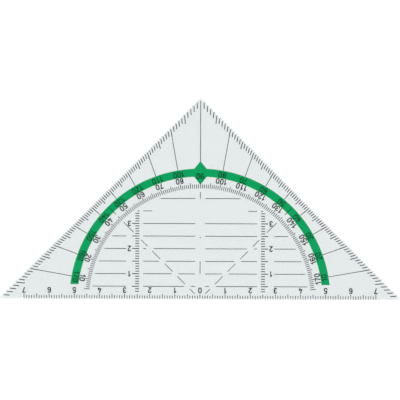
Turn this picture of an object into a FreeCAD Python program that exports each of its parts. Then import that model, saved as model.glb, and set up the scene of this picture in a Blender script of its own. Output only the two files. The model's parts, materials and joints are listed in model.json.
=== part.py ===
import FreeCAD, Part
import os
import re
import Sketcher

# Geometry set square: a clear right-angled plate with a millimetre scale on its hypotenuse, degree scales
# on its short edges and a green protractor band.
#
# The plate lies flat with its underside on z = 0. The origin is the zero mark, in the middle of the
# hypotenuse. +X runs along the hypotenuse, +Y to the right-angled corner and +Z up through the plate.
#
# Every mark is a V groove pressed into the underside, so that it lies on the paper when the plate is used,
# and filled flush with ink. The fillings are modelled first, and the plate is the blank less its fillings.

SIZES = {
    # plate
    "hypotenuse": 160,
    "plate_thickness": 2,
    "corner_radius": 0.5,
    "rim_radius": 0.3,
    # grooves: depth is a share of width, and the green ink lies in a shallow flat recess
    "tick_width": 0.27,
    "bold_tick_width": 0.33,
    "line_width": 0.25,
    "groove_depth_share": 0.5,
    "green_depth": 0.02,
    # millimetre scale on the hypotenuse
    "scale_pitch": 1,
    "long_tick_every": 5,
    "base_margin": 0.34,
    "base_tick": 1.0,
    "base_long_tick": 1.57,
    "base_end_clearance": 10,
    # degree scales: how many degrees apart their ticks, longer ticks and lines stand
    "degree_step": 1,
    "long_degree_step": 5,
    "line_degree_step": 10,
    # degree scale on the short edges: the margin and the ticks are measured square to the edge
    "edge_margin": 0.42,
    "edge_tick": 1.67,
    "edge_long_tick": 2.58,
    # protractor band
    "band_edge_gap": 4.65,
    "band_width": 3.2,
    "band_foot": 5.75,
    "diamond_inset": 1.72,
    "diamond_height": 9.4,
    "diamond_width": 7.7,
    "line_band_gap": 0.05,
    "line_diamond_lap": 0.3,
    # degree scale inside the band
    "numeral_row": 3.09,
    "degree_tick": 1.57,
    "degree_long_tick": 2.15,
    # lines parallel to the hypotenuse, counted up from it
    "line_pitch": 5,
    "line_end_gap": 1.05,
    "centre_gap": 2,
    "crossing_gap": 1.4,
    "panel_line": 7,
    "panel_half_width": 19.1,
    "outer_lines_top": 27.5,
    # upright millimetre scales
    "upright_offset": 25,
    "upright_inner_gap": 2.35,
    "upright_outer_gap": 4.45,
    "upright_foot": 3,
    "upright_tick": 1.57,
    "upright_long_tick": 2.8,
    "upright_tick_inset": 0.76,
    "upright_top": 35,
    # 45 degree guide lines, as heights above the hypotenuse
    "diagonal_start": 2.15,
    "diagonal_gap": 0.95,
    "diagonal_upright_gap": 1.5,
    "band_mark": 3.6,
    "band_mark_inset": 0.8,
    # centre line
    "centre_line_width": 0.27,
    "centre_dash_start": 10.1,
    "centre_dash": 4.95,
    "centre_dot_height": 24.55,
    "centre_dot": 0.4,
    "upper_dash_start": 39.9,
    "upper_dash": 2.7,
}

# Lengths that follow from the sizes above, as formulas on the sheet.
DERIVED = {
    "root_two": "=sqrt(2)",
    "apex_height": "=hypotenuse / 2",
    "edge_distance": "=apex_height / root_two",
    "base_reach": "=floor((apex_height - base_end_clearance) / scale_pitch) * scale_pitch",
    "long_pitch": "=scale_pitch * long_tick_every",
    "band_outer": "=edge_distance - band_edge_gap",
    "band_inner": "=band_outer - band_width",
    "diamond_middle": "=band_outer - diamond_inset",
    "diamond_top": "=diamond_middle + diamond_height / 2",
    "diamond_foot": "=diamond_middle - diamond_height / 2",
    "degree_outer": "=band_inner - numeral_row",
    "degree_inner": "=degree_outer - degree_tick",
    "field_radius": "=degree_inner - line_end_gap",
    "upright_tick_start": "=upright_offset - upright_tick_inset",
}

document = FreeCAD.newDocument("set_square")
sheet = document.addObject("Spreadsheet::Sheet", "Sizes")


def fill_sheet():
    """Write each size with its name beside it, and give the cell that name as its alias."""
    for row, (name, value) in enumerate({**SIZES, **DERIVED}.items(), start=1):
        sheet.set(f"A{row}", name)
        sheet.set(f"B{row}", str(value))
        sheet.setAlias(f"B{row}", name)
    document.recompute()


def bound(text):
    """A formula on size names, with the sheet's name put before each size."""
    known = {**SIZES, **DERIVED}
    return re.sub("[a-z_]+", lambda found: "Sizes." * (found[0] in known) + found[0], text)


def bind(thing, place, text):
    """Drive one property of an object by a formula on size names."""
    thing.setExpression(place, bound(text))


def value_of(text):
    """The number that a formula on size names has now."""
    return float(sheet.evalExpression(bound(text).replace("Sizes.", "")))


def new_body(name):
    """A body that may hold many separate marks."""
    body = document.addObject("PartDesign::Body", name)
    body.AllowCompound = True
    return body


def datum(body, role):
    """One of the body's own origin planes or axes."""
    return next(item for item in body.Origin.OriginFeatures if item.Role == role)


def new_sketch(body, name, plane):
    """An empty sketch on one of the body's origin planes."""
    sketch = body.newObject("Sketcher::SketchObject", name)
    sketch.AttachmentSupport = [(datum(body, plane), "")]
    sketch.MapMode = "FlatFace"
    return sketch


def hold(sketch, kind, geometry, point, text):
    """Hold a point of the sketch at a signed distance from the origin, given as a formula."""
    index = sketch.addConstraint(Sketcher.Constraint(kind, -1, 1, geometry, point, value_of(text)))
    name = f"{kind}_{geometry}"
    sketch.renameConstraint(index, name)
    bind(sketch, f"Constraints.{name}", text)


def draw_polygon(sketch, corners):
    """A closed outline through corners, each a pair of formulas for x and y."""
    places = [FreeCAD.Vector(value_of(x), value_of(y), 0) for x, y in corners]
    following = places[1:] + places[:1]
    sketch.addGeometry([Part.LineSegment(a, b) for a, b in zip(places, following)], False)
    for number, (x, y) in enumerate(corners):
        after = (number + 1) % len(corners)
        sketch.addConstraint(Sketcher.Constraint("Coincident", number, 2, after, 1))
        hold(sketch, "DistanceX", number, 1, x)
        hold(sketch, "DistanceY", number, 1, y)


def draw_circle(sketch, radius):
    """A circle about the zero mark."""
    circle = Part.Circle(FreeCAD.Vector(), FreeCAD.Vector(0, 0, 1), value_of(radius))
    sketch.addGeometry(circle, False)
    sketch.addConstraint(Sketcher.Constraint("Coincident", 0, 3, -1, 1))
    index = sketch.addConstraint(Sketcher.Constraint("Radius", 0, value_of(radius)))
    sketch.renameConstraint(index, "radius")
    bind(sketch, "Constraints.radius", radius)


def draw_groove(sketch, width):
    """The V section of a groove: its mouth lies on the underside and its point is up in the plate."""
    half = value_of(width) / 2
    depth = value_of(f"{width} * groove_depth_share")
    left = FreeCAD.Vector(-half, 0, 0)
    right = FreeCAD.Vector(half, 0, 0)
    point = FreeCAD.Vector(0, depth, 0)
    sides = [(left, right), (right, point), (point, left)]
    sketch.addGeometry([Part.LineSegment(a, b) for a, b in sides], False)
    for rule in (
        ("Coincident", 0, 2, 1, 1),
        ("Coincident", 1, 2, 2, 1),
        ("Coincident", 2, 2, 0, 1),
        ("Symmetric", 0, 1, 0, 2, -1, 1),
        ("Horizontal", 0),
        ("PointOnObject", 1, 2, -2),
    ):
        sketch.addConstraint(Sketcher.Constraint(*rule))
    mouth = sketch.addConstraint(Sketcher.Constraint("DistanceX", 0, 1, 0, 2, 2 * half))
    sketch.renameConstraint(mouth, "mouth")
    bind(sketch, "Constraints.mouth", width)
    deep = sketch.addConstraint(Sketcher.Constraint("DistanceY", 0, 1, 1, 2, depth))
    sketch.renameConstraint(deep, "deep")
    bind(sketch, "Constraints.deep", f"{width} * groove_depth_share")


def add_bar(body, name, start, length, aside, width):
    """A straight mark that runs along X from start for a length, with its middle at aside on Y."""
    sketch = new_sketch(body, name + "_section", "YZ_Plane")
    draw_groove(sketch, width)
    bind(sketch, "AttachmentOffset.Base.x", aside)
    bind(sketch, "AttachmentOffset.Base.z", start)
    bar = body.newObject("PartDesign::Pad", name)
    bar.Profile = sketch
    bind(bar, "Length", length)
    document.recompute()
    return bar


def add_row(body, name, original, axis, length, copies):
    """Repeat a mark in a straight row."""
    row = body.newObject("PartDesign::LinearPattern", name)
    row.Originals = [original]
    row.Direction = (datum(body, axis), [""])
    bind(row, "Length", length)
    bind(row, "Occurrences", copies)
    body.Tip = row
    document.recompute()


def add_fan(body, name, original, angle, copies):
    """Repeat a mark about the zero mark, on the normal of an empty sketch, which is square to the underside."""
    pivot = new_sketch(body, name + "_pivot", "XY_Plane")
    fan = body.newObject("PartDesign::PolarPattern", name)
    fan.Originals = [original]
    fan.Axis = (pivot, ["N_Axis"])
    bind(fan, "Angle", angle)
    bind(fan, "Occurrences", copies)
    body.Tip = fan
    document.recompute()


def turn_body(body, angle):
    """Turn a body about the zero mark."""
    body.Placement = FreeCAD.Placement(
        FreeCAD.Vector(), FreeCAD.Rotation(FreeCAD.Vector(0, 0, 1), value_of(angle))
    )
    bind(body, "Placement.Rotation.Angle", angle)


def add_block(body, name, corners, height):
    """A polygon raised from the underside."""
    sketch = new_sketch(body, name + "_outline", "XY_Plane")
    draw_polygon(sketch, corners)
    block = body.newObject("PartDesign::Pad", name)
    block.Profile = sketch
    bind(block, "Length", height)
    document.recompute()
    return block


def add_disc(body, name, radius, height):
    """A disc about the zero mark, raised from the underside."""
    sketch = new_sketch(body, name + "_outline", "XY_Plane")
    draw_circle(sketch, radius)
    disc = body.newObject("PartDesign::Pad", name)
    disc.Profile = sketch
    bind(disc, "Length", height)
    document.recompute()


def cut_through(body, name, corners):
    """Cut a polygon out of a body, upwards from the underside."""
    sketch = new_sketch(body, name + "_outline", "XY_Plane")
    draw_polygon(sketch, corners)
    cut = body.newObject("PartDesign::Pocket", name)
    cut.Profile = sketch
    cut.Reversed = True
    bind(cut, "Length", "plate_thickness")
    before = body.Shape.Volume
    document.recompute()
    if not body.Shape.Volume < before:
        raise RuntimeError(f"{name} cuts nothing")
    return cut


def rectangle(left, bottom, right, top):
    """The corners of an upright rectangle."""
    return [(left, bottom), (right, bottom), (right, top), (left, top)]


def overlap(name, first, second):
    """What two shapes share."""
    common = document.addObject("Part::MultiCommon", name)
    common.Shapes = [first, second]
    common.Refine = False
    document.recompute()
    return common


def cut_away(name, base, tools):
    """One shape less several others."""
    compound = document.addObject("Part::Compound", name + "_tools")
    compound.Links = tools
    cut = document.addObject("Part::Cut", name)
    cut.Base = base
    cut.Tool = compound
    document.recompute()
    return cut


def mirror_left(source):
    """The same marks on the left of the centre line."""
    mirrored = document.addObject("Part::Mirroring", source.Name.replace("_right", "_left"))
    mirrored.Source = source
    mirrored.Base = FreeCAD.Vector(0, 0, 0)
    mirrored.Normal = FreeCAD.Vector(1, 0, 0)
    document.recompute()
    return mirrored


def make_blank():
    """The moulded triangle, with rounded corners and an eased upper rim. Its lower rim is sharp."""
    body = new_body("plate_blank")
    corners = [("-1 * apex_height", "0"), ("apex_height", "0"), ("0", "apex_height")]
    slab = add_block(body, "slab", corners, "plate_thickness")
    upright = [
        f"Edge{number}"
        for number, edge in enumerate(slab.Shape.Edges, start=1)
        if abs(edge.tangentAt(edge.FirstParameter).z) > 0.5
    ]
    tips = body.newObject("PartDesign::Fillet", "corners")
    tips.Base = (slab, upright)
    bind(tips, "Radius", "corner_radius")
    document.recompute()
    top = value_of("plate_thickness")
    middle = top / 2
    rim_edges = [
        f"Edge{number}"
        for number, edge in enumerate(tips.Shape.Edges, start=1)
        if edge.BoundBox.ZMin > middle
    ]
    rim = body.newObject("PartDesign::Fillet", "rim")
    rim.Base = (tips, rim_edges)
    bind(rim, "Radius", "rim_radius")
    body.Tip = rim
    document.recompute()
    return body


def make_base_scale():
    """Millimetre ticks along the hypotenuse, with every fifth one longer. They are drawn up the Y axis."""
    body = new_body("base_scale")
    first = "-1 * base_reach"
    short = add_bar(body, "tick", "base_margin", "base_tick", first, "tick_width")
    add_row(body, "ticks", short, "Y_Axis", "2 * base_reach", "2 * base_reach / scale_pitch + 1")
    long = add_bar(body, "long_tick", "base_margin", "base_long_tick", first, "tick_width")
    add_row(body, "long_ticks", long, "Y_Axis", "2 * base_reach", "2 * base_reach / long_pitch + 1")
    turn_body(body, "90")
    document.recompute()
    return body


def make_rays(name, step, width):
    """Long marks outside the band, one every so many degrees, that all point away from the zero mark."""
    body = new_body(name)
    start = "band_outer + line_band_gap"
    ray = add_bar(body, name + "_ray", start, f"apex_height - ( {start} )", "0", width)
    add_fan(body, name + "_fan", ray, f"90 - 2 * {step}", f"90 / {step} - 1")
    turn_body(body, step)
    document.recompute()
    return body


def make_edge_strip(name, tick):
    """The strip beside the right-hand short edge that holds the ticks of one length."""
    outer = "apex_height - edge_margin * root_two"
    inner = f"apex_height - ( edge_margin + {tick} ) * root_two"
    body = new_body(name)
    corners = [("0", inner), (inner, "0"), (outer, "0"), ("0", outer)]
    add_block(body, name + "_block", corners, "plate_thickness")
    return body


def make_edge_scale():
    """Degree ticks that run in from the right-hand short edge, with every fifth one longer."""
    every_degree = make_rays("every_degree", "degree_step", "bold_tick_width")
    every_fifth = make_rays("every_fifth_degree", "long_degree_step", "bold_tick_width")
    short = overlap("short_edge_ticks", every_degree, make_edge_strip("short_strip", "edge_tick"))
    long = overlap("long_edge_ticks", every_fifth, make_edge_strip("long_strip", "edge_long_tick"))
    scale = document.addObject("Part::MultiFuse", "edge_scale_right")
    scale.Shapes = [short, long]
    scale.Refine = True
    document.recompute()
    return scale


def make_ten_degree_lines():
    """Thin lines that carry every tenth degree on from its edge tick to the green band."""
    reach = "apex_height - ( edge_margin + edge_long_tick ) * root_two"
    inside = new_body("inside_edge_ticks")
    add_block(inside, "inside_block", [("0", "0"), (reach, "0"), ("0", reach)], "plate_thickness")
    rays = make_rays("every_tenth_degree", "line_degree_step", "line_width")
    return overlap("ten_degree_lines_right", rays, inside)


def make_right_angle_line():
    """The line at 90 degrees, from the right-angled corner down onto the tip of the green diamond."""
    body = new_body("right_angle_line")
    foot = "diamond_top - line_diamond_lap"
    top = "apex_height - edge_margin * root_two - corner_radius"
    add_bar(body, "upright_bar", foot, f"{top} - ( {foot} )", "0", "centre_line_width")
    turn_body(body, "90")
    document.recompute()
    return body


def make_inner_degree_scale():
    """Degree ticks inside the green band, with every fifth one longer outwards."""
    body = new_body("inner_degree_scale")
    sweep = "180 - 2 * long_degree_step"
    short = add_bar(body, "degree", "degree_inner", "degree_tick", "0", "tick_width")
    add_fan(body, "degrees", short, sweep, f"( {sweep} ) / degree_step + 1")
    long = add_bar(body, "fifth_degree", "degree_inner", "degree_long_tick", "0", "tick_width")
    add_fan(body, "fifth_degrees", long, sweep, f"( {sweep} ) / long_degree_step + 1")
    turn_body(body, "long_degree_step")
    document.recompute()
    return body


def draw_band(sketch, foot):
    """The band's outline: two arcs about the zero mark, cut off level at the band's foot."""
    low = value_of(foot)
    radii = [value_of("band_outer"), value_of("band_inner")]
    reach = [(radius**2 - low**2) ** 0.5 for radius in radii]
    axis = FreeCAD.Vector(0, 0, 1)
    for radius, across in zip(radii, reach):
        start = FreeCAD.Vector(across, low, 0)
        end = FreeCAD.Vector(-across, low, 0)
        circle = Part.Circle(FreeCAD.Vector(), axis, radius)
        sketch.addGeometry(
            Part.ArcOfCircle(circle, circle.parameter(start), circle.parameter(end)), False
        )
    for side in (1, -1):
        outer = FreeCAD.Vector(side * reach[0], low, 0)
        inner = FreeCAD.Vector(side * reach[1], low, 0)
        sketch.addGeometry(Part.LineSegment(outer, inner), False)
    for rule in (
        ("Coincident", 0, 3, -1, 1),
        ("Coincident", 1, 3, -1, 1),
        ("Coincident", 0, 1, 2, 1),
        ("Coincident", 1, 1, 2, 2),
        ("Coincident", 0, 2, 3, 1),
        ("Coincident", 1, 2, 3, 2),
        ("Horizontal", 2),
        ("Horizontal", 3),
    ):
        sketch.addConstraint(Sketcher.Constraint(*rule))
    for number, radius in enumerate(("band_outer", "band_inner")):
        index = sketch.addConstraint(Sketcher.Constraint("Radius", number, radii[number]))
        sketch.renameConstraint(index, radius)
        bind(sketch, f"Constraints.{radius}", radius)
    hold(sketch, "DistanceY", 2, 1, foot)
    hold(sketch, "DistanceY", 3, 1, foot)


def make_green_blank():
    """The green ink of the protractor band and of the diamond at 90 degrees, before marks cross it."""
    body = new_body("green_blank")
    sketch = new_sketch(body, "band_outline", "XY_Plane")
    draw_band(sketch, "band_foot")
    band = body.newObject("PartDesign::Pad", "band")
    band.Profile = sketch
    bind(band, "Length", "green_depth")
    document.recompute()
    side = "diamond_width / 2"
    corners = [
        ("0", "diamond_foot"),
        (side, "diamond_middle"),
        ("0", "diamond_top"),
        (f"-1 * {side}", "diamond_middle"),
    ]
    diamond = add_block(body, "diamond", corners, "green_depth")
    body.Tip = diamond
    return body


def make_field():
    """The disc inside the degree scale."""
    body = new_body("field")
    add_disc(body, "field_disc", "field_radius", "plate_thickness")
    return body


def make_parallel_lines():
    """Lines parallel to the hypotenuse, which stop short of what crosses them."""
    lines = new_body("parallel_bars")
    bar = add_bar(lines, "parallel_bar", "centre_gap", "apex_height", "line_pitch", "line_width")
    count = "floor( field_radius / line_pitch )"
    add_row(lines, "parallel_row", bar, "Y_Axis", f"( {count} - 1 ) * line_pitch", count)

    room = new_body("line_room")
    add_disc(room, "line_disc", "field_radius", "plate_thickness")
    inner_side = "upright_offset - upright_inner_gap"
    outer_side = "upright_offset + upright_outer_gap"
    far = "apex_height"
    cut_through(room, "upright_room", rectangle(inner_side, "0", outer_side, far))
    cut_through(room, "upper_room", rectangle(inner_side, "outer_lines_top", far, far))
    panel_foot = "( panel_line - 0.5 ) * line_pitch"
    panel_top = "( panel_line + 0.5 ) * line_pitch"
    cut_through(room, "panel_room", rectangle("0", panel_foot, "panel_half_width", panel_top))
    end = "upright_offset - line_pitch / 2"
    crossing = [
        ("0", "crossing_gap"),
        ("0", "-1 * crossing_gap"),
        (f"{end} + crossing_gap", end),
        (f"{end} - crossing_gap", end),
    ]
    cut_through(room, "diagonal_room", crossing)
    return overlap("parallel_lines_right", lines, room)


def make_upright_scale(field):
    """The millimetre scale that stands on the right of the centre line."""
    body = new_body("upright_ticks")
    start = "upright_tick_start"
    width = "bold_tick_width"
    short = add_bar(body, "upright_tick", start, "upright_tick", "upright_foot", width)
    rise = "upright_top - upright_foot"
    add_row(body, "upright_ticks_row", short, "Y_Axis", rise, f"( {rise} ) / scale_pitch + 1")
    long = add_bar(body, "upright_long_tick", start, "upright_long_tick", "long_pitch", width)
    long_rise = "upright_top - 2 * long_pitch"
    add_row(body, "upright_long_row", long, "Y_Axis", long_rise, f"( {long_rise} ) / long_pitch + 1")
    return overlap("upright_scale_right", body, field)


def make_diagonal_lines():
    """The 45 degree guide line, broken where others cross it, and its mark on the green band."""
    body = new_body("diagonal_lines_right")
    start = "diagonal_start * root_two"
    add_bar(body, "diagonal_bar", start, f"field_radius - {start}", "0", "line_width")
    gap = cut_through(
        body,
        "crossing",
        rectangle(
            "( line_pitch - diagonal_gap ) * root_two",
            "-1 * line_width",
            "( line_pitch + diagonal_gap ) * root_two",
            "line_width",
        ),
    )
    lines_below = "( floor( upright_offset / line_pitch ) - 2 )"
    length = f"{lines_below} * line_pitch * root_two"
    add_row(body, "crossings", gap, "X_Axis", length, f"{lines_below} + 1")
    cut = cut_through(
        body,
        "upright_crossing",
        rectangle(
            "( upright_offset - diagonal_upright_gap ) * root_two",
            "-1 * line_width",
            "( upright_offset + diagonal_upright_gap ) * root_two",
            "line_width",
        ),
    )
    body.Tip = cut
    mark_start = "band_outer - band_mark_inset - band_mark"
    mark = add_bar(body, "band_mark", mark_start, "band_mark", "0", "line_width")
    body.Tip = mark
    turn_body(body, "45")
    document.recompute()
    return body


def make_centre_line():
    """The broken line above the zero mark: a dash, a square dot and an upper dash."""
    body = new_body("centre_line")
    add_bar(body, "lower_bar", "centre_dash_start", "centre_dash", "0", "centre_line_width")
    dot_foot = "centre_dot_height - centre_dot / 2"
    add_bar(body, "dot", dot_foot, "centre_dot", "0", "centre_dot")
    dash = add_bar(body, "upper_bar", "upper_dash_start", "upper_dash", "0", "centre_line_width")
    body.Tip = dash
    turn_body(body, "90")
    document.recompute()
    return body


def check_document():
    """Stop if any object of the document failed."""
    document.recompute()
    for thing in document.Objects:
        failed = {"Invalid", "Error"} & set(thing.State)
        if failed:
            raise RuntimeError(f"{thing.Name} is {failed}")


def check_grooves_are_full(blank, plate, ink):
    """Stop if what was cut out of the blank isn't exactly what the ink fills."""
    removed = blank.Shape.Volume - plate.Shape.Volume
    filled = sum(filling.Shape.Volume for filling in ink)
    print(f"grooves {removed:.4f} cubic mm, ink {filled:.4f} cubic mm")
    if abs(removed - filled) > 0.001 * filled:
        raise RuntimeError("the ink doesn't fill its grooves")


def export(parts):
    """Check each sub-part's shape and write it under its label."""
    os.makedirs("parts", exist_ok=True)
    for part in parts:
        shape = part.Shape
        if shape.isNull() or not shape.isValid() or not shape.Solids:
            raise RuntimeError(f"{part.Label} has no sound solid")
    for part in parts:
        part.Shape.exportStep(f"parts/{part.Label}.step")
        print(f"{part.Label}: {len(part.Shape.Solids)} solids, {part.Shape.Volume:.4f} cubic mm")


fill_sheet()
blank = make_blank()
field = make_field()
edge_scale = make_edge_scale()
ten_degree_lines = make_ten_degree_lines()
parallel_lines = make_parallel_lines()
upright_scale = make_upright_scale(field)
diagonal_lines = make_diagonal_lines()
inner_degree_scale = make_inner_degree_scale()
right_angle_line = make_right_angle_line()

on_the_right = [edge_scale, ten_degree_lines, parallel_lines, upright_scale, diagonal_lines]
on_the_left = [mirror_left(marks) for marks in on_the_right]
across = [inner_degree_scale, right_angle_line, make_base_scale(), make_centre_line()]
black_marks = on_the_right + on_the_left + across

# Some black marks cross the band or lap the diamond, and the green ink is what lies round them.
crossing_green = [diagonal_lines, on_the_left[-1], inner_degree_scale, right_angle_line]
green_band = cut_away("green_band", make_green_blank(), crossing_green)

ink = black_marks + [green_band]
plate = document.addObject("Part::Feature", "plate")
plate.Shape = blank.Shape.cut([filling.Shape for filling in ink])

check_document()
check_grooves_are_full(blank, plate, ink)
export([plate] + ink)
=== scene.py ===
"""Finishes, numerals and a plain studio for a clear plastic geometry set square.

The set square lies on the floor with its marked side down. The origin is its zero mark, +X runs along the
hypotenuse, +Y to the right-angled corner and +Z up. Lengths are in metres.
"""

import json
import math

import bmesh
import bpy
from bpy.props import FloatProperty, FloatVectorProperty, IntProperty, PointerProperty
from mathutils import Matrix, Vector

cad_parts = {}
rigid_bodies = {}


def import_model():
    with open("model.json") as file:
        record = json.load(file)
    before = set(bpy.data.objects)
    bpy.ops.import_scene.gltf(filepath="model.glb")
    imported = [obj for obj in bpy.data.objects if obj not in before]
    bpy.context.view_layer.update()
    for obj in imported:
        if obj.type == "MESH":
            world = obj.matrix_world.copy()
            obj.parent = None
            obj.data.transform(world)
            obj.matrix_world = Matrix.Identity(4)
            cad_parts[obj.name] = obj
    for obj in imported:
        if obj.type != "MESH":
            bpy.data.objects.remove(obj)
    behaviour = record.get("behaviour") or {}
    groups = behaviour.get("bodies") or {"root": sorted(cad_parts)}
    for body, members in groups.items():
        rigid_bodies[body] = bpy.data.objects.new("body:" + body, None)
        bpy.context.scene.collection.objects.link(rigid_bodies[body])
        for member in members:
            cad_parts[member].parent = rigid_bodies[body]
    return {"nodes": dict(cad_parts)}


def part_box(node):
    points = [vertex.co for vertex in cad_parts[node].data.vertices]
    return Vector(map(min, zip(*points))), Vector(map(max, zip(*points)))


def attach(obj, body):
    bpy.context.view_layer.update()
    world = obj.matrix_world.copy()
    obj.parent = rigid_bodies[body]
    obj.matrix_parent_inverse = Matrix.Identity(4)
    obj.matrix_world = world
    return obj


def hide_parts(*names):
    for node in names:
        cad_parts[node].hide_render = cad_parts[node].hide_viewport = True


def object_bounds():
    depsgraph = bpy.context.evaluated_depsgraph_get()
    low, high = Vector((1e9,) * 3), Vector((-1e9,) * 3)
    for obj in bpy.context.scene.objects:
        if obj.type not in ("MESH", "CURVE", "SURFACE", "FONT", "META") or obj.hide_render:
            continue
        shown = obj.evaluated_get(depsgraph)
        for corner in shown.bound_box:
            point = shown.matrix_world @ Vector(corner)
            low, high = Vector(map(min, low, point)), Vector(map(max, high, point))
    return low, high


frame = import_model()
CAD_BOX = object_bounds()

bl_info = {
    "name": "Geometry Set Square",
    "version": (1, 0, 0),
    "blender": (4, 5, 0),
    "location": "View3D > Sidebar > Set Square",
    "description": "Finishes, numerals and a plain studio for a clear geometry set square",
    "category": "Object",
}

MM = 0.001
CENTIMETRE = 10 * MM
DEGREE_STEP = 10  # Degrees between the numerals of the degree scales.
RIGHT_ANGLE = math.radians(90)
HALF_TURN = math.pi

BODY = "root"
PLATE = "plate"
GREEN_BAND = "green_band"
BLACK_MARKS = sorted(name for name in frame["nodes"] if name not in (PLATE, GREEN_BAND))
BLACK_MATERIAL = "mark_ink"
DIGITS = "digits"
GREEN_DIGITS = "green_digits"

SCRATCH_TURNS = (0.35, 1.9, 2.75)  # Directions of the scratches, in radians.
SCRATCH_STRETCH = 20  # Length of the waves that the scratches follow, as a multiple of their spacing.
NOISE_MIDDLE = 0.5  # The value that a noise varies about.
SAME_PLACE = 0.0004 * MM  # Corners of a mesh that are nearer to each other than this are one.

ARC_STEP = 20  # Degrees between the points of an arc in a digit.
MITRE_LIMIT = 0.45  # The least cosine of half a turn that a digit's mitres follow.
END_WIDTHS = (0.87, 0.5)  # Widths of a stroke's rounded end, as shares of the stroke.
STROKE_STEP = 0.03  # How much lower each later stroke of a digit is, as a share of its depth.
ROUNDING = 0.001  # Added before a label is cut down to a digit, because a power of ten is not quite exact.

SWEEP_SIDES = 64  # Faces in a ring of the floor and backdrop.
SWEEP_BENDS = 8  # Rings in the curve between the floor and the backdrop.
LAMP_SHARES = (1.1, 0.9, 1.0)  # What each soft box gives, as a share of the lamp power.
CLIP_SHARES = (0.01, 10)  # How near and how far the camera sees, as shares of its distance.

# Where the numerals stand comes from the marks that they belong to.
BASE_TICK_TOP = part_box("base_scale")[1].y
INNER_SCALE_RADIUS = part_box("inner_degree_scale")[1].y
BAND_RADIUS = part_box(GREEN_BAND)[0].xy.length
UPRIGHT_TICK_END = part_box("upright_scale_right")[1].x
APEX_HEIGHT = CAD_BOX[1].y
GREEN_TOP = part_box(GREEN_BAND)[1].z
BLACK_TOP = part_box("base_scale")[1].z
GROOVE_TOP = max(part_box(name)[1].z for name in BLACK_MARKS)


def length(name, description, default):
    """A size that the user can change."""
    return FloatProperty(
        name=name, description=description, default=default, subtype="DISTANCE", unit="LENGTH", precision=5
    )


def share(name, description, default):
    """A number from 0 to 1 that the user can change."""
    return FloatProperty(
        name=name, description=description, default=default, min=0, max=1, subtype="FACTOR"
    )


def angle(name, description, degrees):
    """An angle that the user can change."""
    return FloatProperty(
        name=name, description=description, default=math.radians(degrees), subtype="ANGLE", unit="ROTATION"
    )


def colour(name, description, default):
    """A colour that the user can change."""
    return FloatVectorProperty(
        name=name, description=description, default=default, min=0, max=1, size=3, subtype="COLOR"
    )


class SetSquarePlastic(bpy.types.PropertyGroup):
    """The clear plastic of the plate."""

    tint: colour("Tint", "What one face of the plate lets through or mirrors", (0.943, 0.955, 0.957))
    bend: FloatProperty(name="Bend", description="Index of refraction", default=1.49, min=1)
    bounces: IntProperty(name="Bounces", description="Reflections that are followed in the plate", default=3)
    contact: length("Contact", "Height above the underside where ink meets plastic", 0.002 * MM)
    polish: share("Polish", "Roughness of the polished faces", 0.02)
    haze: share("Haze", "Roughness of a scratch, and twice that of a handled patch", 0.06)
    scratch_spacing: length("Scratch spacing", "Distance between hairline scratches", 6 * MM)
    scratch_width: share("Scratch width", "Width of a scratch as a share of the spacing", 0.008)
    handling: length("Handling size", "Size of the patches where the plate was handled", 30 * MM)
    wave_size: length("Wave size", "Distance between the moulded waves of a face", 8 * MM)
    wave_share: FloatProperty(name="Wave share", description="Height of a wave in scratch depths", default=2)
    relief: length("Relief", "Depth of a scratch", 0.01 * MM)
    relief_share: share("Relief strength", "How much of the relief is seen", 0.1)


class SetSquareInk(bpy.types.PropertyGroup):
    """The two inks."""

    green: colour("Green", "The band's ink", (0.0, 0.372, 0.11))
    thin_green: colour("Thin green", "The band's ink where it lies thinner", (0.0, 0.397, 0.122))
    black: colour("Black", "The marks' ink", (0.004, 0.004, 0.005))
    thin_black: colour("Thin black", "The marks' ink where it lies thinner", (0.01, 0.01, 0.011))
    roughness: share("Roughness", "Roughness of dry ink", 0.55)
    grain_roughness: share("Grain roughness", "Roughness that the grain adds", 0.15)
    shine: share("Shine", "Specular level of the ink", 0.03)
    cloud: length("Cloud size", "Size of the patches of thinner ink", 2.5 * MM)
    cloud_share: share("Cloud share", "How much of the thinness comes from the patches", 0.7)
    thin_from: share("Thin from", "Thinness below which the ink is full", 0.35)
    thin_to: share("Thin to", "Thinness above which the ink is thin", 0.75)
    grain: length("Grain size", "Size of the ink's grain", 0.06 * MM)
    relief: length("Relief", "Height of the grain", 0.005 * MM)
    relief_share: share("Relief strength", "How much of the relief is seen", 0.3)
    shrinkage: length("Shrinkage", "How far the green stays below the roof of its recess", 0.004 * MM)


class SetSquareNumerals(bpy.types.PropertyGroup):
    """The numerals of every scale."""

    height: length("Height", "Height of a digit", 2.3 * MM)
    stroke: length("Stroke", "Width of a digit's strokes", 0.38 * MM)
    green_stroke: length("Green stroke", "Width of the strokes on the green", 0.3 * MM)
    pitch: share("Pitch", "Distance between digits as a share of their height", 0.72)
    one_tuck: length("Tuck after 1", "How much nearer the other digits stand to a leading 1", 0.26 * MM)
    cover: length("Cover", "How far the ink stays from a face of the plate", 0.005 * MM)
    green_cover: length("Green cover", "How far the ink stays from the green", 0.01 * MM)
    base_gap: length("Base gap", "From the base ticks to the middle of their numerals", 1.52 * MM)
    inner_gap: length("Inner gap", "From the inner degree ticks to the middle of their numerals", 1.29 * MM)
    outer_inset: length("Outer inset", "From the band's rim to the middle of its numerals", 1.8 * MM)
    diamond_inset: length("Diamond inset", "From the band's rim to the middle of the 90", 3.0 * MM)
    upright_gap: length("Upright gap", "From the upright ticks to the middle of their numerals", 1.16 * MM)
    base_reach: IntProperty(name="Base reach", description="Last numeral on the hypotenuse", default=7)
    upright_reach: IntProperty(name="Upright reach", description="Last numeral of the uprights", default=3)
    degree_steps: IntProperty(name="Degree steps", description="Numerals from 10 up to 80", default=8)


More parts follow.
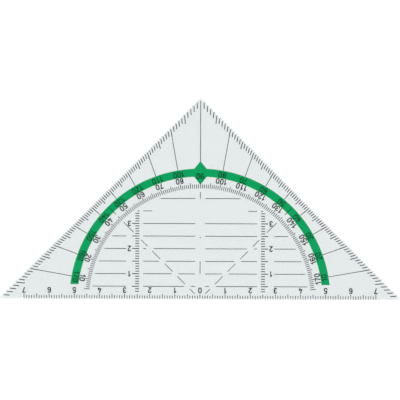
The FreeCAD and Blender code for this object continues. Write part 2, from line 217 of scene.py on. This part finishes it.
class SetSquareStudio(bpy.types.PropertyGroup):
    """Floor, backdrop, lamps and camera."""

    paper: colour("Paper", "The floor and the backdrop", (0.9, 0.9, 0.9))
    fibres: length("Fibre size", "Size of the paper's fibres", 0.8 * MM)
    relief: length("Relief", "Height of the fibres", 0.02 * MM)
    relief_share: share("Relief strength", "How much of the relief is seen", 0.05)
    paper_lift: FloatProperty(name="Paper lift", description="Light added to the paper as seen", default=0.1)
    far_lift: FloatProperty(name="Far lift", description="The same, added at the backdrop only", default=0.35)
    floor_gap: length("Floor gap", "How far the paper lies below the underside", 0.02 * MM)
    floor_radius: length("Floor radius", "From the middle of the floor to the backdrop", 3.0)
    backdrop_height: length("Backdrop height", "Height of the backdrop", 4.0)
    sweep: length("Sweep", "Radius between the floor and the backdrop", 0.6)
    ceiling: FloatProperty(name="Ceiling", description="Strength of the light from above", default=0.08)
    lamp_power: FloatProperty(name="Lamp power", description="Watts of each soft box", default=9.5)
    lamp_distance: length("Lamp distance", "From the set square to each soft box", 1.6)
    lamp_width: length("Lamp width", "Width of each soft box", 0.9)
    lamp_elevation: angle("Lamp elevation", "Height of the soft boxes above the floor", 60)
    lamp_azimuth: angle("Lamp azimuth", "Direction of the first soft box", 150)
    lens: FloatProperty(name="Lens", description="Focal length in millimetres", default=300.0)
    view_width: length("View width", "What the camera takes in at the marks", 159.25 * MM)
    view_across: length("View across", "Where the camera looks along the hypotenuse", -0.138 * MM)
    view_middle: length("View middle", "Height on the plate that the camera looks at", 39.42 * MM)
    roll: angle("Roll", "How far the camera is turned about its own axis", 0.238)


class Socket:
    """An output of a node. Arithmetic on it adds Math nodes to its tree."""

    def __init__(self, nodes, socket):
        self.nodes = nodes
        self.socket = socket

    def calculate(self, operation, first, second=0.0):
        settings = {"operation": operation}
        return self.nodes.add("ShaderNodeMath", settings, {0: first, 1: second})["Value"]

    def __add__(self, other):
        return self.calculate("ADD", self, other)

    def __sub__(self, other):
        return self.calculate("SUBTRACT", self, other)

    def __rsub__(self, other):
        return self.calculate("SUBTRACT", other, self)

    def __mul__(self, other):
        return self.calculate("MULTIPLY", self, other)

    def __truediv__(self, other):
        return self.calculate("DIVIDE", self, other)

    def __mod__(self, other):
        return self.calculate("FLOORED_MODULO", self, other)

    def __pow__(self, other):
        return self.calculate("POWER", self, other)

    def __rpow__(self, other):
        return self.calculate("POWER", other, self)

    def __gt__(self, other):
        return self.calculate("GREATER_THAN", self, other)

    def __lt__(self, other):
        return self.calculate("LESS_THAN", self, other)

    def __abs__(self):
        return self.calculate("ABSOLUTE", self)

    def __floor__(self):
        return self.calculate("FLOOR", self)

    __radd__ = __add__
    __rmul__ = __mul__


class Nodes:
    """Adds nodes to a material or to a geometry tree."""

    def __init__(self, tree):
        self.tree = tree

    def add(self, kind, settings=None, sockets=None):
        """A node of that kind, as its outputs by name: first its settings are set, then its sockets."""
        node = self.tree.nodes.new(kind)
        for name, value in (settings or {}).items():
            if name == "stops":
                set_stops(node.color_ramp, value)
            else:
                setattr(node, name, value)
        for name, value in (sockets or {}).items():
            if isinstance(value, Socket):
                self.tree.links.new(value.socket, node.inputs[name])
            else:
                node.inputs[name].default_value = value
        return {output.name: Socket(self, output) for output in node.outputs if output.enabled}


def set_stops(ramp, stops):
    """Give a colour ramp its stops, each a place and a grey."""
    for element, (place, grey) in zip(ramp.elements, stops):
        element.position = place
        element.color = (grey, grey, grey, 1)


def new_material(name):
    """An empty node material and what adds nodes to it."""
    material = bpy.data.materials.new(name)
    material.use_nodes = True
    material.node_tree.nodes.clear()
    return material, Nodes(material.node_tree)


def noise(nodes, place, size, detail=2.0, stretch=(1, 1, 1), turn=0.0):
    """Noise from 0 to 1 with features of a size in metres, on the piece's own coordinates."""
    scale = [part / size for part in stretch]
    mapped = nodes.add(
        "ShaderNodeMapping", {}, {"Vector": place, "Rotation": (0, 0, turn), "Scale": scale}
    )["Vector"]
    return nodes.add(
        "ShaderNodeTexNoise", {}, {"Vector": mapped, "Scale": 1.0, "Detail": detail}
    )["Fac"]


def bumped(nodes, height, strength, distance):
    """A normal that follows a height, in which 1 stands for the distance."""
    return nodes.add(
        "ShaderNodeBump", {}, {"Strength": strength, "Distance": distance, "Height": height}
    )["Normal"]


def clear_plastic(look):
    """Polished clear plastic with hairline scratches, wetted by the ink in its grooves.

    It bends and mirrors what is seen through it, and lets lamplight straight through onto the paper.
    """
    material, nodes = new_material("plate_plastic")
    place = nodes.add("ShaderNodeTexCoord")["Object"]
    height = nodes.add("ShaderNodeSeparateXYZ", {}, {"Vector": place})["Z"]
    wetted = (height > look.contact) * (height < GROOVE_TOP + look.contact)

    scratches = 0.0
    for turn in SCRATCH_TURNS:
        wander = noise(nodes, place, look.scratch_spacing, 1.0, (1, 1 / SCRATCH_STRETCH, 1), turn)
        scratches = scratches + (abs(wander - NOISE_MIDDLE) < look.scratch_width)
    handled = noise(nodes, place, look.handling, detail=4.0)
    waves = noise(nodes, place, look.wave_size, detail=1.0)
    normal = bumped(nodes, waves * look.wave_share - scratches, look.relief_share, look.relief)
    roughness = look.polish + handled * (look.haze / 2) + scratches * look.haze
    tint = (*look.tint, 1)
    bending = nodes.add(
        "ShaderNodeBsdfGlass",
        {},
        {"Color": tint, "Roughness": roughness, "IOR": look.bend, "Normal": normal},
    )["BSDF"]
    straight = nodes.add("ShaderNodeBsdfTransparent", {}, {"Color": tint})["BSDF"]
    joined = nodes.add("ShaderNodeBsdfTransparent", {}, {"Color": (1, 1, 1, 1)})["BSDF"]
    ray = nodes.add("ShaderNodeLightPath")
    unbent = ray["Is Shadow Ray"] + ray["Is Diffuse Ray"] + (ray["Ray Depth"] > look.bounces)
    plastic = nodes.add("ShaderNodeMixShader", {}, {"Fac": unbent, 1: bending, 2: straight})["Shader"]
    shader = nodes.add("ShaderNodeMixShader", {}, {"Fac": wetted, 1: plastic, 2: joined})["Shader"]
    nodes.add("ShaderNodeOutputMaterial", {}, {"Surface": shader})
    return material


def ink(name, full, thin, look):
    """Dry ink that lies a little thinner in patches, with a fine grain."""
    material, nodes = new_material(name)
    place = nodes.add("ShaderNodeTexCoord")["Object"]
    patches = noise(nodes, place, look.cloud, detail=3.0)
    grain = noise(nodes, place, look.grain)
    mottling = patches * look.cloud_share + grain * (1 - look.cloud_share)
    stops = [(look.thin_from, 0.0), (look.thin_to, 1.0)]
    thinness = nodes.add("ShaderNodeValToRGB", {"stops": stops}, {"Fac": mottling})["Color"]
    shade = nodes.add(
        "ShaderNodeMix",
        {"data_type": "RGBA"},
        {"Factor": thinness, "A": (*full, 1), "B": (*thin, 1)},
    )
    shader = nodes.add(
        "ShaderNodeBsdfPrincipled",
        {},
        {
            "Base Color": shade["Result"],
            "Roughness": look.roughness + grain * look.grain_roughness,
            "Specular IOR Level": look.shine,
            "Normal": bumped(nodes, grain, look.relief_share, look.relief),
        },
    )["BSDF"]
    nodes.add("ShaderNodeOutputMaterial", {}, {"Surface": shader})
    return material


def black_ink():
    """The one black ink, made when it is first asked for."""
    look = bpy.context.scene.set_square_ink
    return bpy.data.materials.get(BLACK_MATERIAL) or ink(BLACK_MATERIAL, look.black, look.thin_black, look)


def dress(name, material):
    """Give a CAD node its finish."""
    for slot in frame["nodes"][name].material_slots:
        slot.material = material


def add_green_film():
    """The green ink, shrunk a hair as it dried, so that its face stands clear of the recess's roof."""
    look = bpy.context.scene.set_square_ink
    form = bmesh.new()
    form.from_mesh(frame["nodes"][GREEN_BAND].data)
    bmesh.ops.remove_doubles(form, verts=form.verts, dist=SAME_PLACE)
    for corner in form.verts:
        if corner.co.z > look.shrinkage:
            corner.co.z -= look.shrinkage
    mesh = bpy.data.meshes.new("green_film")
    form.to_mesh(mesh)
    form.free()
    mesh.materials.append(ink("band_ink", look.green, look.thin_green, look))
    film = bpy.data.objects.new("green_film", mesh)
    bpy.context.scene.collection.objects.link(film)
    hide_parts(GREEN_BAND)
    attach(film, BODY)


def arc(x, y, radius, first, last):
    """Points along an arc, from one angle to another in degrees."""
    steps = max(2, round(abs(last - first) / ARC_STEP))
    turns = [math.radians(first + (last - first) * step / steps) for step in range(steps + 1)]
    return [(x + radius * math.cos(turn), y + radius * math.sin(turn)) for turn in turns]


def digit_strokes():
    """The strokes of each digit, from 0 to 9, as points on their middle lines and whether they close.

    A digit's middle lines are 1 high and about half as wide, and stand on y = 0 about x = 0.
    """
    six_tail = arc(0, 0.73, 0.27, 30, 180) + [(-0.27, 0.27)]
    six_bowl = arc(0, 0.27, 0.27, 0, 340)
    return [
        [(arc(0, 0.74, 0.26, 0, 180) + arc(0, 0.26, 0.26, 180, 360), True)],
        [([(-0.2, 0.74), (0.04, 1), (0.04, 0)], False)],
        [(arc(0, 0.75, 0.25, 165, -35) + [(-0.25, 0), (0.26, 0)], False)],
        [(arc(0, 0.76, 0.24, 155, -90) + arc(0, 0.26, 0.26, 90, -155), False)],
        [([(0.0, 1), (-0.27, 0.26), (0.28, 0.26)], False), ([(0.14, 0.45), (0.14, 0)], False)],
        [([(0.22, 1), (-0.19, 1), (-0.22, 0.53)] + arc(-0.01, 0.3, 0.3, 125, -150), False)],
        [(six_tail, False), (six_bowl, True)],
        [([(-0.26, 1), (0.26, 1), (-0.08, 0)], False)],
        [(arc(0, 0.77, 0.23, 0, 340), True), (arc(0, 0.27, 0.27, 0, 340), True)],
        [
            ([(-x, 1 - y) for x, y in six_tail], False),
            ([(-x, 1 - y) for x, y in six_bowl], True),
        ],
    ]


def stations(points, closed, half):
    """Where a stroke's two borders run: pairs of points, mitred at corners and rounded at open ends."""
    count = len(points)
    found = []
    for number, (x, y) in enumerate(points):
        before = points[number - 1] if closed or number else (x, y)
        after = points[(number + 1) % count] if closed or number < count - 1 else (x, y)
        back = math.atan2(y - before[1], x - before[0]) if before != (x, y) else None
        ahead = math.atan2(after[1] - y, after[0] - x) if after != (x, y) else back
        back = ahead if back is None else back
        turn = math.remainder(ahead - back, 2 * math.pi)
        course = back + turn / 2
        reach = half / max(math.cos(turn / 2), MITRE_LIMIT)
        found.append((x, y, course, reach))
    if not closed:
        rounding = [(math.sqrt(1 - width**2) * half, width * half) for width in END_WIDTHS]
        x, y, course, _ = found[0]
        for along, reach in rounding:
            found.insert(0, (x - along * math.cos(course), y - along * math.sin(course), course, reach))
        x, y, course, _ = found[-1]
        for along, reach in rounding:
            found.append((x + along * math.cos(course), y + along * math.sin(course), course, reach))
    return [
        (
            (x - reach * math.sin(course), y + reach * math.cos(course)),
            (x + reach * math.sin(course), y - reach * math.cos(course)),
        )
        for x, y, course, reach in found
    ]


def digit_mesh(name, strokes, height, stroke):
    """The closed solids of one digit's strokes, from z = 0 to z = 1, centred on the origin in x and y.

    Where strokes cross, the later one is a hair lower, so that no two faces lie in one place.
    """
    corners, faces = [], []
    scale = height - stroke
    sides = 4
    for order, (points, closed) in enumerate(strokes):
        top = 1 - STROKE_STEP * order
        line = [(x * scale, (y - 0.5) * scale) for x, y in points]
        start = len(corners)
        borders = stations(line, closed, stroke / 2)
        for left, right in borders:
            corners += [(*left, 0), (*right, 0), (*right, top), (*left, top)]
        count = len(borders)
        for number in range(count if closed else count - 1):
            here = start + sides * number
            there = start + sides * ((number + 1) % count)
            for side in range(sides):
                other = (side + 1) % sides
                faces.append((here + side, there + side, there + other, here + other))
        if not closed:
            last = start + sides * (count - 1)
            faces.append((start, start + 1, start + 2, start + 3))
            faces.append((last + 3, last + 2, last + 1, last))
    mesh = bpy.data.meshes.new(name)
    mesh.from_pydata(corners, [], faces)
    return mesh


def digit_collection(name, stroke):
    """The ten digits with strokes of one width, in a collection that the rows of numerals pick from."""
    found = bpy.data.collections.get(name)
    if found:
        return found
    look = bpy.context.scene.set_square_numerals
    digits = bpy.data.collections.new(name)
    for number, strokes in enumerate(digit_strokes()):
        mesh = digit_mesh(f"{name}_{number}", strokes, look.height, stroke)
        digits.objects.link(bpy.data.objects.new(mesh.name, mesh))
    return digits


NUMERAL_INPUTS = {
    "Digits": "NodeSocketCollection",
    "Ink": "NodeSocketMaterial",
    "Count": "NodeSocketInt",
    "First Label": "NodeSocketFloat",
    "Label Step": "NodeSocketFloat",
    "Digit Pitch": "NodeSocketFloat",
    "One Tuck": "NodeSocketFloat",
    "First X": "NodeSocketFloat",
    "First Y": "NodeSocketFloat",
    "X Step": "NodeSocketFloat",
    "Y Step": "NodeSocketFloat",
    "Text Turn": "NodeSocketFloat",
    "First Angle": "NodeSocketFloat",
    "Angle Step": "NodeSocketFloat",
    "Foot": "NodeSocketFloat",
    "Depth": "NodeSocketFloat",
}


def numeral_tree():
    """Numerals in a row or a fan, with labels that step evenly.

    Each numeral has three points, one for each digit it may have. The text is turned about its own middle,
    moved to its place in the row, and then turned about the zero mark.
    """
    found = bpy.data.node_groups.get("numerals")
    if found:
        return found
    tree = bpy.data.node_groups.new("numerals", "GeometryNodeTree")
    for name, kind in NUMERAL_INPUTS.items():
        tree.interface.new_socket(name=name, in_out="INPUT", socket_type=kind)
    tree.interface.new_socket(name="Geometry", in_out="OUTPUT", socket_type="NodeSocketGeometry")
    nodes = Nodes(tree)
    given = nodes.add("NodeGroupInput")

    places = 3
    points = nodes.add("GeometryNodePoints", {}, {"Count": given["Count"] * places})["Points"]
    index = nodes.add("GeometryNodeInputIndex")["Index"]
    number = math.floor(index / places)
    place = index % places
    label = abs(given["First Label"] + number * given["Label Step"])

    # Labels, places and counts are whole numbers, so each test stands halfway between two of them.
    digit = math.floor(label / 10**place + ROUNDING) % 10
    shown = (label > 10**place - 0.5) + (place < 0.5)
    digits = 1 + (label > 9.5) + (label > 99.5)
    after_one = (place < digits - 1.5) * ((label < 19.5) + (label > 99.5))
    aside = ((digits - 1) * 0.5 - place) * given["Digit Pitch"] - after_one * given["One Tuck"]

    def turned(vector, turn):
        settings = {"rotation_type": "Z_AXIS"}
        return nodes.add("ShaderNodeVectorRotate", settings, {"Vector": vector, "Angle": turn})["Vector"]

    fan_turn = given["First Angle"] + number * given["Angle Step"]
    text = turned(nodes.add("ShaderNodeCombineXYZ", {}, {"X": aside})["Vector"], given["Text Turn"])
    row = nodes.add(
        "ShaderNodeCombineXYZ",
        {},
        {
            "X": given["First X"] + number * given["X Step"],
            "Y": given["First Y"] + number * given["Y Step"],
            "Z": given["Foot"],
        },
    )["Vector"]
    middle = nodes.add("ShaderNodeVectorMath", {"operation": "ADD"}, {0: text, 1: row})["Vector"]
    position = turned(middle, fan_turn)
    rotation = nodes.add("ShaderNodeCombineXYZ", {}, {"Z": given["Text Turn"] + fan_turn})["Vector"]
    scale = nodes.add("ShaderNodeCombineXYZ", {}, {"X": 1.0, "Y": 1.0, "Z": given["Depth"]})["Vector"]

    spread = nodes.add("GeometryNodeSetPosition", {}, {"Geometry": points, "Position": position})["Geometry"]
    shapes = nodes.add(
        "GeometryNodeCollectionInfo",
        {},
        {"Collection": given["Digits"], "Separate Children": True, "Reset Children": True},
    )["Instances"]
    instances = nodes.add(
        "GeometryNodeInstanceOnPoints",
        {},
        {
            "Points": spread,
            "Selection": shown,
            "Instance": shapes,
            "Pick Instance": True,
            "Instance Index": digit,
            "Rotation": rotation,
            "Scale": scale,
        },
    )["Instances"]
    solid = nodes.add("GeometryNodeRealizeInstances", {}, {"Geometry": instances})["Geometry"]
    inked = nodes.add(
        "GeometryNodeSetMaterial", {}, {"Geometry": solid, "Material": given["Ink"]}
    )["Geometry"]
    nodes.add("NodeGroupOutput", {}, {"Geometry": inked})
    return tree


def add_numerals(name, green=False, **placing):
    """Make one piece of numerals as a plain mesh that rides with the plate. Missing inputs are zero."""
    look = bpy.context.scene.set_square_numerals
    if green:
        foot = GREEN_TOP + look.green_cover
        digits = digit_collection(GREEN_DIGITS, look.green_stroke)
    else:
        foot = look.cover
        digits = digit_collection(DIGITS, look.stroke)
    values = {
        "Digits": digits,
        "Ink": black_ink(),
        "Count": 1,
        "Digit Pitch": look.pitch * look.height,
        "One Tuck": look.one_tuck,
        "Foot": foot,
        "Depth": BLACK_TOP - foot,
    }
    values.update({key.replace("_", " ").title(): value for key, value in placing.items()})

    piece = bpy.data.objects.new(name, bpy.data.meshes.new(name))
    bpy.context.scene.collection.objects.link(piece)
    modifier = piece.modifiers.new("Numerals", "NODES")
    modifier.node_group = numeral_tree()
    sockets = {item.name: item for item in modifier.node_group.interface.items_tree if item.in_out == "INPUT"}
    for key, value in values.items():
        modifier[sockets[key].identifier] = value
    graph = bpy.context.evaluated_depsgraph_get()
    mesh = bpy.data.meshes.new_from_object(piece.evaluated_get(graph))
    piece.modifiers.remove(modifier)
    piece.data = mesh
    if not mesh.polygons:
        raise RuntimeError(f"{name} has no faces")
    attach(piece, BODY)


class SETSQUARE_OT_finish_plate(bpy.types.Operator):
    """Give the moulded plate its clear plastic"""

    bl_idname = "set_square.finish_plate"
    bl_label = "Finish Plate"

    def execute(self, context):
        dress(PLATE, clear_plastic(context.scene.set_square_plastic))
        return {"FINISHED"}


class SETSQUARE_OT_finish_green_band(bpy.types.Operator):
    """Give the protractor band and its diamond their green ink"""

    bl_idname = "set_square.finish_green_band"
    bl_label = "Finish Green Band"

    def execute(self, context):
        add_green_film()
        return {"FINISHED"}


class SETSQUARE_OT_finish_black_marks(bpy.types.Operator):
    """Give every tick and line its black ink"""

    bl_idname = "set_square.finish_black_marks"
    bl_label = "Finish Black Marks"

    def execute(self, context):
        for name in BLACK_MARKS:
            dress(name, black_ink())
        return {"FINISHED"}


class SETSQUARE_OT_add_base_numerals(bpy.types.Operator):
    """Number the centimetres both ways from the zero mark"""

    bl_idname = "set_square.add_base_numerals"
    bl_label = "Add Base Numerals"

    def execute(self, context):
        look = context.scene.set_square_numerals
        add_numerals(
            "base_numerals",
            count=2 * look.base_reach + 1,
            first_label=-look.base_reach,
            label_step=1,
            first_x=-look.base_reach * CENTIMETRE,
            x_step=CENTIMETRE,
            first_y=BASE_TICK_TOP + look.base_gap,
            text_turn=HALF_TURN,
        )
        return {"FINISHED"}


class SETSQUARE_OT_add_degree_numerals(bpy.types.Operator):
    """Number every tenth degree inside the green band and on it, with the 90 in the diamond"""

    bl_idname = "set_square.add_degree_numerals"
    bl_label = "Add Degree Numerals"

    def execute(self, context):
        look = context.scene.set_square_numerals
        inner = INNER_SCALE_RADIUS + look.inner_gap
        outer = BAND_RADIUS - look.outer_inset
        step = math.radians(DEGREE_STEP)
        for side, edge_angle, turning in (("right", 0, 1), ("left", HALF_TURN, -1)):
            fan = {
                "count": look.degree_steps,
                "text_turn": RIGHT_ANGLE,
                "first_angle": edge_angle + turning * step,
                "angle_step": turning * step,
            }
            rising = {"first_label": DEGREE_STEP, "label_step": DEGREE_STEP}
            falling = {"first_label": 180 - DEGREE_STEP, "label_step": -DEGREE_STEP}
            if side == "right":
                on_band, inside = rising, falling
            else:
                on_band, inside = falling, rising
            add_numerals(f"outer_numerals_{side}", green=True, first_x=outer, **fan, **on_band)
            add_numerals(f"inner_numerals_{side}", first_x=inner, **fan, **inside)
        add_numerals(
            "right_angle_numeral",
            green=True,
            first_label=90,
            first_x=BAND_RADIUS - look.diamond_inset,
            text_turn=RIGHT_ANGLE,
            first_angle=RIGHT_ANGLE,
        )
        return {"FINISHED"}


class SETSQUARE_OT_add_upright_numerals(bpy.types.Operator):
    """Number the centimetres of the two upright scales"""

    bl_idname = "set_square.add_upright_numerals"
    bl_label = "Add Upright Numerals"

    def execute(self, context):
        look = context.scene.set_square_numerals
        across = UPRIGHT_TICK_END + look.upright_gap
        for side, x in (("right", across), ("left", -across)):
            add_numerals(
                f"upright_numerals_{side}",
                count=look.upright_reach,
                first_label=1,
                label_step=1,
                first_x=x,
                first_y=CENTIMETRE,
                y_step=CENTIMETRE,
                text_turn=HALF_TURN,
            )
        return {"FINISHED"}


def paper(look):
    """Matt white paper that keeps shadows and looks white to the camera and in reflections."""
    material, nodes = new_material("paper")
    place = nodes.add("ShaderNodeTexCoord")["Object"]
    fibres = noise(nodes, place, look.fibres, detail=3.0)
    normal = bumped(nodes, fibres, look.relief_share, look.relief)
    matt = nodes.add(
        "ShaderNodeBsdfDiffuse", {}, {"Color": (*look.paper, 1), "Normal": normal}
    )["BSDF"]
    ray = nodes.add("ShaderNodeLightPath")
    seen = nodes.add(
        "ShaderNodeMath",
        {"operation": "MINIMUM"},
        {0: ray["Is Camera Ray"] + ray["Is Glossy Ray"] + ray["Is Transmission Ray"], 1: 1.0},
    )["Value"]
    apart = nodes.add("ShaderNodeSeparateXYZ", {}, {"Vector": place})
    farness = (apart["X"] * apart["X"] + apart["Y"] * apart["Y"]) / look.floor_radius**2
    strength = seen * (look.paper_lift + farness * look.far_lift)
    lift = nodes.add(
        "ShaderNodeEmission", {}, {"Color": (1, 1, 1, 1), "Strength": strength}
    )["Emission"]
    shader = nodes.add("ShaderNodeAddShader", {}, {0: matt, 1: lift})["Shader"]
    nodes.add("ShaderNodeOutputMaterial", {}, {"Surface": shader})
    return material


def paper_sweep(look):
    """A round floor that sweeps up into a backdrop, with its normals inwards."""
    radius, bend = look.floor_radius, look.sweep
    profile = [(0.0, 0.0), (radius - bend, 0.0)]
    for step in range(1, SWEEP_BENDS + 1):
        turn = RIGHT_ANGLE * step / SWEEP_BENDS
        profile.append((radius - bend + bend * math.sin(turn), bend - bend * math.cos(turn)))
    profile.append((radius, look.backdrop_height))
    sides = SWEEP_SIDES
    corners = [(0, 0, 0)]
    for out, up in profile[1:]:
        for side in range(sides):
            turn = 2 * math.pi * side / sides
            corners.append((out * math.cos(turn), out * math.sin(turn), up))
    faces = [(0, 1 + side, 1 + (side + 1) % sides) for side in range(sides)]
    for ring in range(len(profile) - 2):
        here = 1 + ring * sides
        for side in range(sides):
            beside = (side + 1) % sides
            faces.append((here + side, here + sides + side, here + sides + beside, here + beside))
    mesh = bpy.data.meshes.new("paper_sweep")
    mesh.from_pydata(corners, [], faces)
    for face in mesh.polygons:
        face.use_smooth = True
    return mesh


def add_lamp(name, azimuth, power, look):
    """A soft box that looks at the set square."""
    light = bpy.data.lights.new(name, "AREA")
    light.shape = "DISK"
    light.size = look.lamp_width
    light.energy = power
    lamp = bpy.data.objects.new(name, light)
    out = look.lamp_distance * math.cos(look.lamp_elevation)
    up = look.lamp_distance * math.sin(look.lamp_elevation)
    lamp.location = (out * math.cos(azimuth), out * math.sin(azimuth) + APEX_HEIGHT / 2, up)
    lamp.rotation_euler = (0, RIGHT_ANGLE - look.lamp_elevation, azimuth)
    lamp.visible_camera = False
    bpy.context.scene.collection.objects.link(lamp)


def add_camera(look):
    """A camera with a long lens, straight above the plate."""
    lens = bpy.data.cameras.new("camera")
    lens.lens = look.lens
    camera = bpy.data.objects.new("camera", lens)
    away = look.view_width * look.lens / lens.sensor_width
    camera.location = (look.view_across, look.view_middle, away)
    camera.rotation_euler = (0, 0, look.roll)
    lens.clip_start, lens.clip_end = (away * part for part in CLIP_SHARES)
    bpy.context.scene.collection.objects.link(camera)
    bpy.context.scene.camera = camera


class SETSQUARE_OT_add_studio(bpy.types.Operator):
    """Add the paper floor and backdrop, three soft boxes, light from all round and the camera"""

    bl_idname = "set_square.add_studio"
    bl_label = "Add Studio"

    def execute(self, context):
        look = context.scene.set_square_studio
        floor = bpy.data.objects.new("paper_sweep", paper_sweep(look))
        floor.location.z = -look.floor_gap
        floor.data.materials.append(paper(look))
        context.scene.collection.objects.link(floor)
        for number, part in enumerate(LAMP_SHARES):
            azimuth = look.lamp_azimuth + 2 * math.pi * number / len(LAMP_SHARES)
            add_lamp(f"soft_box_{number + 1}", azimuth, part * look.lamp_power, look)
        world = bpy.data.worlds.new("ceiling")
        world.use_nodes = True
        world.node_tree.nodes["Background"].inputs["Strength"].default_value = look.ceiling
        world.node_tree.nodes["Background"].inputs["Color"].default_value = (1, 1, 1, 1)
        context.scene.world = world
        context.scene.view_settings.view_transform = "Standard"
        add_camera(look)
        return {"FINISHED"}


class SETSQUARE_PT_panel(bpy.types.Panel):
    """The set square's settings and the steps that make it"""

    bl_label = "Set Square"
    bl_idname = "SETSQUARE_PT_panel"
    bl_space_type = "VIEW_3D"
    bl_region_type = "UI"
    bl_category = "Set Square"

    def draw(self, context):
        for name, kind in SETTINGS.items():
            box = self.layout.box()
            box.label(text=kind.__doc__)
            for setting in kind.__annotations__:
                box.prop(getattr(context.scene, name), setting)
        for operator in OPERATORS:
            self.layout.operator(operator.bl_idname)


SETTINGS = {
    "set_square_plastic": SetSquarePlastic,
    "set_square_ink": SetSquareInk,
    "set_square_numerals": SetSquareNumerals,
    "set_square_studio": SetSquareStudio,
}

OPERATORS = (
    SETSQUARE_OT_finish_plate,
    SETSQUARE_OT_finish_green_band,
    SETSQUARE_OT_finish_black_marks,
    SETSQUARE_OT_add_base_numerals,
    SETSQUARE_OT_add_degree_numerals,
    SETSQUARE_OT_add_upright_numerals,
    SETSQUARE_OT_add_studio,
)

CLASSES = (*SETTINGS.values(), *OPERATORS, SETSQUARE_PT_panel)


def register():
    """Add the settings, the operators and the panel to Blender."""
    for item in CLASSES:
        bpy.utils.register_class(item)
    for name, kind in SETTINGS.items():
        setattr(bpy.types.Scene, name, PointerProperty(type=kind))


def unregister():
    """Take them out again."""
    for name in SETTINGS:
        delattr(bpy.types.Scene, name)
    for item in reversed(CLASSES):
        bpy.utils.unregister_class(item)


def remove_digits():
    """Remove the loose digits that the rows were made from."""
    for name in (DIGITS, GREEN_DIGITS):
        digits = bpy.data.collections[name]
        for digit in list(digits.objects):
            bpy.data.objects.remove(digit)
        bpy.data.collections.remove(digits)


def main():
    register()
    bpy.ops.set_square.finish_plate()
    bpy.ops.set_square.finish_green_band()
    bpy.ops.set_square.finish_black_marks()
    bpy.ops.set_square.add_base_numerals()
    bpy.ops.set_square.add_degree_numerals()
    bpy.ops.set_square.add_upright_numerals()
    remove_digits()
    bpy.ops.set_square.add_studio()


if __name__ == "__main__":
    main()
